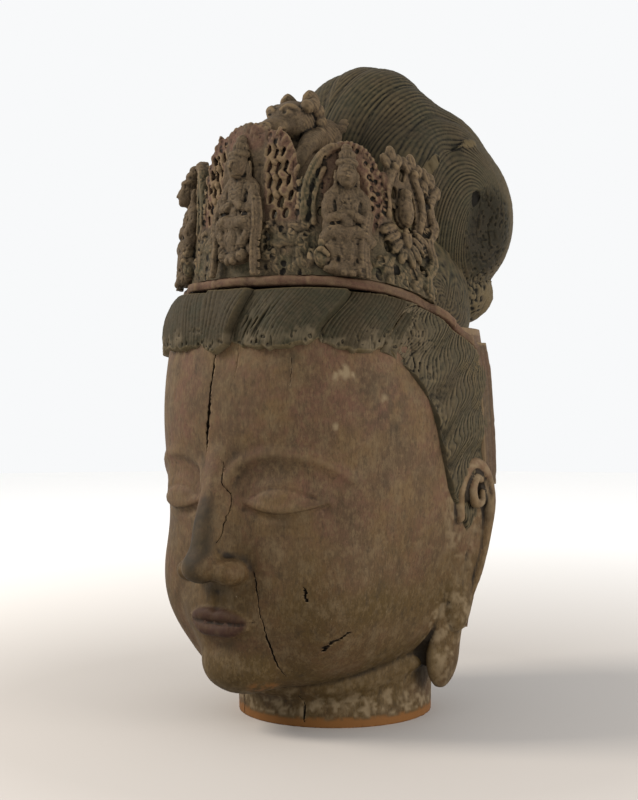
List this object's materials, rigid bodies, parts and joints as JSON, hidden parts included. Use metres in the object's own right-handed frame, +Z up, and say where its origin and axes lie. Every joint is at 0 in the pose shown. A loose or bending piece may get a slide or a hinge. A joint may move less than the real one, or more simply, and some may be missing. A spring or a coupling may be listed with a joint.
{
  "type": "bodhisattva head sculpture",
  "caption": "Carved wooden head of a bodhisattva on a short neck, with a high chignon, long ear lobes and a pierced openwork crown of seated figures.",
  "frame": {"origin": "centre of the neck's flat underside", "axes": "+Z up, the face looks along -Y, the figure's own left is +X"},
  "size_m": [0.4246, 0.5205, 0.8547],
  "materials": {
    "weathered_wood": "aged carved wood with worn pigment, matt",
    "painted_wood": "aged carved wood with remains of pinkish and green paint, matt"
  },
  "bodies": {
    "root": {"head": "weathered_wood", "crown": "painted_wood"}
  },
  "joints": []
}
